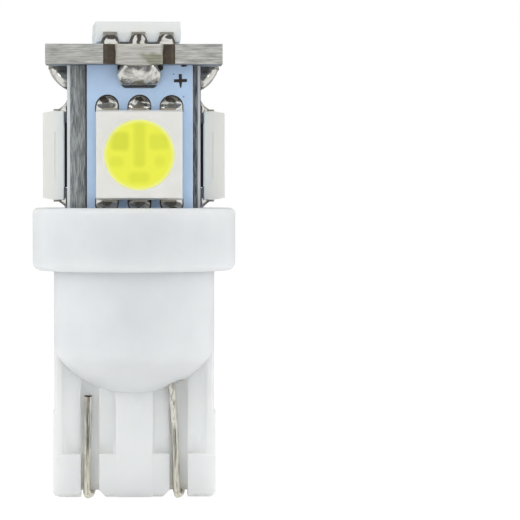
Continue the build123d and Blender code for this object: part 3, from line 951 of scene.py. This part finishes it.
def solder_film(seed):
    """The film that climbs the notch in front of the bulge, with its flux, a painted shadow along its lower
    edge, and its olive patch.

    t runs from 0 at the lower edge to 1 at the top. A level section is flat with rounded sides: x is the
    half width times the sine of an angle, and y stands out by the film's thickness times a low power of its
    cosine, less near the top. The lower edge sags by a parabola across x.
    """
    t = np.linspace(0, 1, 60)[:, None]
    notch = -bulge_low[1] - FILM_THICKNESS
    half_width = (FILM_HALF_WIDTH_MM + 0.03 * t + 0.02 * np.sin(9 * t)) * MM
    depth = FILM_THICKNESS * np.sqrt(1 - 0.6 * np.clip((t - 0.9) / 0.1, 0, 1) ** 2)
    angle, wall = wall_ring()
    front_power = 0.3
    out = np.cos(angle)[None, :] ** front_power
    x = np.concatenate([half_width * np.sin(angle), half_width * wall], axis=1)
    y = -notch - np.concatenate([depth * out, np.zeros((len(t), len(wall)))], axis=1)
    deepest, sag_half_width = 0.15 * MM, 1.3 * MM
    sag = deepest * np.clip(1 - (x / sag_half_width) ** 2, 0, 1)
    rise = TOP_FACE - UNDERSIDE
    z = UNDERSIDE - sag + (rise + sag) * t
    rings = np.stack([x + bulge_centre[0], y, z], axis=-1)
    rings[..., 1] -= waves(rings * np.array([0.3, 0.3, 2.0]), seed + 20, 0.6 * MM) * 0.01 * MM
    # Out of the notch's wall by more than its waves
    rings[..., 1] -= 0.012 * MM
    across, up = x / MM, (z - UNDERSIDE) / MM
    uneven = 0.12 * waves(rings, seed + 60, 0.5 * MM)
    streaky = 0.5 + 0.5 * waves(rings * np.array([0.2, 0.2, 1.0]), seed + 80, 0.16 * MM)
    patch = ramp(across + uneven - 1.2 * (0.3 - up), 0.0, 0.5) * ramp(up + 0.8 * uneven, 0.75, 0.45)
    sides = ramp(np.abs(across), 1.18, 1.32)
    olive = np.maximum(patch * (0.55 + 0.45 * streaky), 0.6 * sides)
    # Painted shadow: the dark band along the lower edge, where the bulge meets the film; the thin dark lines
    # at its very sides are flux
    flux = ramp(t, 0.06, 0.02) * ramp(np.abs(across), 1.3, 0.9) * 0.7
    flux = np.maximum(flux, ramp(np.abs(across), 1.33, 1.37) * 0.5)
    vertices, faces = skin(rings, rings[0].mean(axis=0), rings[-1].mean(axis=0))
    return (
        (vertices, faces),
        np.append(flux.reshape(-1), [0, 0]),
        np.append(olive.reshape(-1), [0, 0]),
    )


class BULB_OT_led_bodies(bpy.types.Operator):
    """Round the LED bodies' edges and give them their white plastic"""

    bl_idname = "bulb.led_bodies"
    bl_label = "LED bodies"

    def execute(self, context):
        plastic = context.scene.bulb_plastic
        raised = moulded_polyphthalamide(plastic, "Moulded white polyphthalamide", 0)
        upright = moulded_polyphthalamide(
            plastic, "Moulded white polyphthalamide on edge", plastic.led_foot
        )
        for led in LEDS:
            white = raised if led == "top" else upright
            softened(f"{led}_led_housing", f"{led}_led_body", plastic.led_round, 2, white)
        return {"FINISHED"}


def rounded_patch(u, v, left, right, low, high, radius, blur):
    """One inside a round-cornered rectangle and nothing outside, with a blurred edge.

    The distance to the rectangle shrunk by its corner radius, less that radius, is the distance to its edge.
    """
    across = np.maximum(np.abs(u - (left + right) / 2) - (right - left) / 2 + radius, 0)
    along = np.maximum(np.abs(v - (low + high) / 2) - (high - low) / 2 + radius, 0)
    return ramp(0.5 - (np.hypot(across, along) - radius) / blur, 0, 1)


class BULB_OT_led_fills(bpy.types.Operator):
    """Build the yellow fill of each LED, with the lead frame's pads showing through it"""

    bl_idname = "bulb.led_fills"
    bl_label = "LED fills"

    def execute(self, context):
        lens = context.scene.bulb_lens
        silicone = phosphor_silicone(lens)
        for led in LEDS:
            vertices, faces, pad, rim = phosphor_fill(lens.dip)
            piece = new_piece(f"{led}_led_fill", at_led(led, vertices), faces, silicone)
            add_attribute(piece, "pad", pad)
            add_attribute(piece, "rim", rim)
            stand_for(piece, f"{led}_led_phosphor")
        return {"FINISHED"}


def phosphor_fill(dip):
    """A fill turned about the lens axis.

    Its radius runs from nothing to the floor's, up the sloping wall to the rim's and back to nothing, and
    its surface sinks by dip times 1 less the square of the distance from the middle. pad and rim are shares
    for the material: pads of the lead frame, as rectangles in millimetres, and the thin edge of the fill.
    """
    around = 128
    rim_radius = (fill_high[0] - fill_low[0]) / 2 + FILL_WIDER
    rim_height = -TOWER_HALF - fill_low[1] + FILL_HIGHER
    floor_height = -TOWER_HALF - fill_high[1]
    floor_radius = rim_radius - (rim_height - floor_height) * math.tan(CUP_SLOPE)
    out = np.linspace(1, 0.02, 60)
    radius = np.concatenate([[floor_radius * 0.5, floor_radius], rim_radius * out])
    height = np.concatenate([[floor_height, floor_height], rim_height - dip * (1 - out**2)])
    angle = np.linspace(0, 2 * math.pi, around, endpoint=False)
    u = radius[:, None] * np.cos(angle)
    v = radius[:, None] * np.sin(angle)
    w = np.broadcast_to(height[:, None], u.shape)
    vertices, faces = skin(
        np.stack([u, v, w], axis=-1), (0, 0, floor_height), (0, 0, rim_height - dip)
    )
    across, along = vertices[:, 0] / MM, vertices[:, 1] / MM
    pad = np.zeros(len(vertices))
    for left, right, low, high, share in PADS:
        patch = rounded_patch(across, along, left, right, low, high, PAD_CORNER_MM, PAD_BLUR_MM)
        pad = np.maximum(pad, share * patch)
    share_out = np.hypot(across, along) * MM / rim_radius
    thin_from = 0.86
    rim = np.clip((share_out - thin_from) / (1 - thin_from), 0, 1) ** 1.5
    return vertices, faces, pad, rim


class BULB_OT_led_leads(bpy.types.Operator):
    """Give the leads of the LEDs their tin plate, and the dies their finish"""

    bl_idname = "bulb.led_leads"
    bl_label = "LED leads and dies"

    def execute(self, context):
        dress([f"{led}_led_leads" for led in LEDS], tin_plate(context.scene.bulb_metal))
        dress([f"{led}_led_dies" for led in LEDS], sapphire_die())
        return {"FINISHED"}


class BULB_OT_led_solder(bpy.types.Operator):
    """Build the six solder mounds on the leads of each LED"""

    bl_idname = "bulb.led_solder"
    bl_label = "LED solder"

    def execute(self, context):
        metal = context.scene.bulb_metal
        bright = reflowed_solder(metal)
        for number, led in enumerate(LEDS):
            if led == "top":
                height, pitch = metal.top_joint_height, metal.top_joint_pitch
            else:
                height, pitch = metal.joint_height, SOLDER_HALF_SPAN - metal.joint_width / 2
            (vertices, faces), flux, lead = led_fillets(
                metal.joint_width, height, pitch, led == "top", 40 + number
            )
            piece = new_piece(f"{led}_led_joints", at_led(led, vertices), faces, bright)
            add_attribute(piece, "flux", flux)
            add_attribute(piece, "lead", lead)
            stand_for(piece, f"{led}_led_solder")
        return {"FINISHED"}


def led_fillets(width, height, pitch, narrow, seed):
    """Six fillets of solder in an LED's own frame, with the flux, painted dark reflections and the bare lead
    on them.

    Each is a set of shrinking rings. The outermost has straight sides and a round end, and the innermost
    lies along the lead at the LED's end. At a share s of the way out the height is the fillet's own times
    a power of 1 - s that is larger at the round end, which is hollow, than at the sides, which are straight.
    Random factors make no two fillets alike. The top LED's are narrow, with painted dark reflections on
    their flanks.
    """
    rng = np.random.default_rng(seed)
    radius = width / 2
    play = 0.02 * MM
    tip = SOLDER_REACH - play
    back = -0.1 * MM
    angle = np.linspace(0, math.pi, 48)
    side = np.linspace(tip - radius, back, 8)[1:]
    rear = np.linspace(-radius, radius, 12)[1:-1]
    left = np.full(len(side), -radius)
    flat = np.full(len(rear), back)
    foot_u = np.concatenate([radius * np.cos(angle), left, rear, -left])
    foot_v = np.concatenate([tip - radius + radius * np.sin(angle), side, flat, side[::-1]])
    lead_share = 0.55 if narrow else 0.18
    lead_u = foot_u * lead_share
    lead_v = back + (foot_v - back) * (LEAD_REACH + play - back) / (tip - back)
    share = np.linspace(1, 0, 34)[:, None] ** 1.2
    forward = ramp(foot_v, tip - radius, tip)
    hollowness = (1.3 + 0.5 * forward) if narrow else (0.8 + 1.6 * forward)
    bright_half_mm = 0.41
    pieces = []
    fluxes = []
    leads = []
    for end in (1, -1):
        for step in (-1, 0, 1):
            tall, far, lean = rng.uniform(*FILLET_SPREAD)
            u = lead_u + (foot_u - lead_u) * share
            v = (lead_v + (foot_v - lead_v) * share) * far
            u = u + lean * v * share
            w = height * tall * (1 - np.broadcast_to(share, u.shape)) ** hollowness
            rings = np.stack([step * pitch + u, LED_HALF_LENGTH + v, w], axis=-1)
            wobble = waves(rings, seed * 7 + step, 0.6 * MM)
            rings[..., 2] += wobble * 0.06 * MM * (w / height) * (1 - w / height) * 4
            edge = np.clip(share + 0.04 * waves(rings, seed * 5 + step, 0.5 * MM), 0, 1)
            across = u / MM + 0.05 * wobble
            rough = waves(rings, seed * 11 + step, 0.35 * MM)
            centre, reach = FILLET_DARK_REFLECTION[step + 1]
            # Painted reflection: dark arcs and patches painted into the flux number
            if narrow:
                outer_dark_reflection = (across / bright_half_mm) ** 2 + (w / (height * tall)) ** 2.2 + 0.3 * rough
                rise = 0.8 if step == 0 else 0.2
                core = np.hypot((across - centre) / reach, (w / height - 0.72) / rise)
                flux = np.maximum(ramp(outer_dark_reflection, 0.82, 0.98), ramp(core + 0.5 * rough, 1.1, 0.8))
                plate = np.zeros(u.shape)
            else:
                # Painted reflection: a dark patch on each fillet's top; the dark rim at the outer edge is
                # flux
                core = np.hypot((across - centre) / (reach + 0.14), (v / MM - 0.6) / 0.2)
                flux = np.maximum(ramp(edge, 0.85, 0.9), ramp(core + 0.7 * rough, 1.1, 0.75))
                plate = ramp(edge, 0.42, 0.3) * ramp(np.abs(across), 0.34, 0.24)
            bottom = np.array([step * pitch, LED_HALF_LENGTH, 0])
            vertices, faces = skin(rings, bottom, rings[-1].mean(axis=0))
            pieces.append((vertices * np.array([end, end, 1]), faces))
            fluxes.append(np.append(flux.reshape(-1), [1, 0]))
            leads.append(np.append(plate.reshape(-1), [0, 0 if narrow else 1]))
    return join(pieces), np.concatenate(fluxes), np.concatenate(leads)


class BULB_OT_inner_parts(bpy.types.Operator):
    """Give the resistors and the solder inside the tower their finish"""

    bl_idname = "bulb.inner_parts"
    bl_label = "Inner parts"

    def execute(self, context):
        metal = context.scene.bulb_metal
        solder = reflowed_solder(metal)
        dress([f"{side}_resistor" for side in SIDES], glazed_chip())
        dress([f"{side}_resistor_caps" for side in SIDES], tin_plate(metal))
        for kind in ("resistor_solder", "corner_solder"):
            dress([f"{side}_{kind}" for side in SIDES], solder)
        dress(["front_wire_solder", "back_wire_solder"], solder)
        return {"FINISHED"}


def soft_light(name, place, target, size, power):
    """A square softbox that faces a point."""
    data = bpy.data.lights.new(name, "AREA")
    data.size = size
    data.energy = power
    light = bpy.data.objects.new(name, data)
    bpy.context.scene.collection.objects.link(light)
    light.location = place
    facing = np.array(target) - np.array(place)
    light.rotation_euler = (
        math.acos(-facing[2] / np.linalg.norm(facing)),
        0,
        math.atan2(facing[1], facing[0]) - math.pi / 2,
    )


class BULB_OT_stage(bpy.types.Operator):
    """Set up the white studio, its floor, its light and the camera"""

    bl_idname = "bulb.stage"
    bl_label = "Studio"

    def execute(self, context):
        stage = context.scene.bulb_stage
        scene = context.scene
        scene.view_settings.view_transform = "Standard"

        camera_data = bpy.data.cameras.new("Camera")
        camera_data.lens = stage.focal_mm
        camera_data.sensor_width = 36.0
        camera_data.clip_start = 0.01
        camera_data.clip_end = 10.0
        camera = bpy.data.objects.new("Camera", camera_data)
        scene.collection.objects.link(camera)
        camera.location = (0, -stage.distance, stage.height)
        camera.rotation_euler = (math.pi / 2 - stage.tilt, 0, -stage.turn)
        scene.camera = camera

        floor = new_piece("floor", *floor_disc(), studio_floor(stage))

        scene.world = studio_world(stage)
        for name, place, size, power in SOFTBOXES:
            soft_light(name, place, BULB_MIDDLE, size, power)
        return {"FINISHED"}


def floor_disc():
    """A level disc at height nothing: circles about the bulb's axis, with a fan inside the smallest."""
    angle = np.linspace(0, 2 * math.pi, 64, endpoint=False)
    radius = np.array(FLOOR_RADII)[:, None]
    x, y = radius * np.cos(angle), radius * np.sin(angle)
    return skin(np.stack([x, y, np.zeros(x.shape)], axis=-1)[::-1], end=(0, 0, 0))


def mirror_room(tree, ahead, stage):
    """How bright the room is in mirror surfaces, by a direction's share along Y.

    It is white but for a dark patch round the camera and a dimmer one behind the bulb.
    """
    front = add_node(tree, "MapRange", [ahead, -0.88, -0.62, stage.dark, 1])
    behind = add_node(tree, "MapRange", [ahead, 0.7, 0.97, 1, 0.35])
    return add_node(tree, "Math", [front, behind], operation="MULTIPLY")


def studio_floor(stage):
    """Matt white paper: to the camera as white as the room, with the faintest shadow under the bulb.

    In mirror surfaces it repeats the room's pattern, by the direction of each place from the LEDs.
    """
    material, tree = new_material("White paper floor")
    paper = add_node(tree, "BsdfDiffuse", {"Color": rgba(stage.floor), "Roughness": 1.0})
    place = add_node(tree, "TexCoord", output="Object")
    below = add_node(tree, "VectorMath", [place, (0, 0, LED_LEVEL)], operation="ADD")
    outward = add_node(tree, "VectorMath", [below], operation="NORMALIZE")
    ahead = add_node(tree, "SeparateXYZ", [outward], 1)
    path = add_node(tree, "LightPath", output=None).outputs
    room = mirror_room(tree, ahead, stage)
    white, glow_share = 1.05, 0.93
    strength = add_node(tree, "Mix", {0: path["Is Camera Ray"], 2: room, 3: white}, data_type="FLOAT")
    glow = add_node(tree, "Emission", {"Color": (1, 1, 1, 1), "Strength": strength})
    seen = [path["Is Camera Ray"], path["Is Glossy Ray"]]
    seen = add_node(tree, "Math", seen, operation="MAXIMUM")
    share = add_node(tree, "Math", [seen, glow_share], operation="MULTIPLY")
    add_node(tree, "OutputMaterial", [add_node(tree, "MixShader", [share, paper, glow])], None)
    return material


def studio_world(stage):
    """A white room: plain white to the camera, with brighter walls at the sides for matt surfaces.

    It isn't sampled as a light, so that each ray meets the room that is meant for it.
    """
    world = bpy.data.worlds.new("White studio")
    world.use_nodes = True
    world.cycles.sampling_method = "NONE"
    tree = world.node_tree
    tree.nodes.clear()
    place = add_node(tree, "TexCoord", output="Generated")
    across, ahead, up = add_node(tree, "SeparateXYZ", [place], None).outputs
    matt = add_node(tree, "MapRange", [across, -1, 0, stage.left_light, 0])
    right = add_node(tree, "MapRange", [across, 0, 1, 0, stage.right_light])
    above = add_node(tree, "MapRange", [up, 0, 1, 0, stage.ceiling_light])
    for light in (right, above, stage.base_light):
        matt = add_node(tree, "Math", [matt, light], operation="ADD")
    path = add_node(tree, "LightPath", output=None).outputs
    room = {0: path["Is Glossy Ray"], 2: matt, 3: mirror_room(tree, ahead, stage)}
    room = add_node(tree, "Mix", room, data_type="FLOAT")
    level = add_node(tree, "Mix", {0: path["Is Camera Ray"], 2: room, 3: 1.0}, data_type="FLOAT")
    glow = add_node(tree, "Background", {"Color": (1, 1, 1, 1), "Strength": level})
    add_node(tree, "OutputWorld", [glow], None)
    return world


OPERATORS = (
    BULB_OT_base,
    BULB_OT_wires,
    BULB_OT_boards,
    BULB_OT_top_solder,
    BULB_OT_led_bodies,
    BULB_OT_led_fills,
    BULB_OT_led_leads,
    BULB_OT_led_solder,
    BULB_OT_inner_parts,
    BULB_OT_stage,
)
SETTINGS = {
    "bulb_plastic": PlasticSettings,
    "bulb_board": BoardSettings,
    "bulb_metal": MetalSettings,
    "bulb_lens": LensSettings,
    "bulb_stage": StageSettings,
}


class BULB_PT_panel(bpy.types.Panel):
    """The bulb's settings and the steps that finish it"""

    bl_label = "Wedge base LED bulb"
    bl_idname = "BULB_PT_panel"
    bl_space_type = "VIEW_3D"
    bl_region_type = "UI"
    bl_category = "Bulb"

    def draw(self, context):
        for name, group in SETTINGS.items():
            box = self.layout.box()
            box.label(text=group.__doc__)
            for setting in group.__annotations__:
                box.prop(getattr(context.scene, name), setting)
        for operator in OPERATORS:
            self.layout.operator(operator.bl_idname)


CLASSES = (*SETTINGS.values(), *OPERATORS, BULB_PT_panel)


def register():
    """Register the classes and hang their settings on the scene."""
    for cls in CLASSES:
        bpy.utils.register_class(cls)
    for name, group in SETTINGS.items():
        setattr(bpy.types.Scene, name, PointerProperty(type=group))


def unregister():
    """Undo register."""
    for name in SETTINGS:
        delattr(bpy.types.Scene, name)
    for cls in reversed(CLASSES):
        bpy.utils.unregister_class(cls)


def main():
    """Run every step in order."""
    register()
    bpy.ops.bulb.base()
    bpy.ops.bulb.wires()
    bpy.ops.bulb.boards()
    bpy.ops.bulb.top_solder()
    bpy.ops.bulb.led_bodies()
    bpy.ops.bulb.led_fills()
    bpy.ops.bulb.led_leads()
    bpy.ops.bulb.led_solder()
    bpy.ops.bulb.inner_parts()
    bpy.ops.bulb.stage()


if __name__ == "__main__":
    main()
